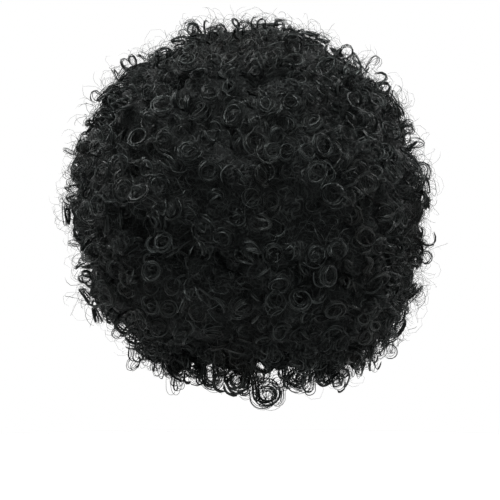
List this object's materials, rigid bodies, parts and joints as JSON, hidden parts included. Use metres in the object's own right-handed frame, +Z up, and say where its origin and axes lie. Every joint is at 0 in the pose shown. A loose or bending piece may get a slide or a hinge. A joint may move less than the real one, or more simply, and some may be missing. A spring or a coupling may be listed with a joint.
{
  "type": "afro wig",
  "caption": "Ball-shaped afro wig of tight curls fused into a thick wall of hair round a thin stretch cap, open at the face and the neck.",
  "frame": {"origin": "the point inside the cap where the crown of the head touches it", "axes": "+Z up the head, the face towards -Y, the wearer's left towards +X"},
  "size_m": [0.3192, 0.3149, 0.3281],
  "materials": {
    "hair": "black curled synthetic hair with a soft sheen",
    "cap": "matt black elastic net"
  },
  "bodies": {
    "root": {"wig_cap": "cap", "crown_hair": "hair", "fringe_hair": "hair", "left_hair": "hair", "right_hair": "hair", "back_hair": "hair", "nape_hair": "hair"}
  },
  "joints": []
}
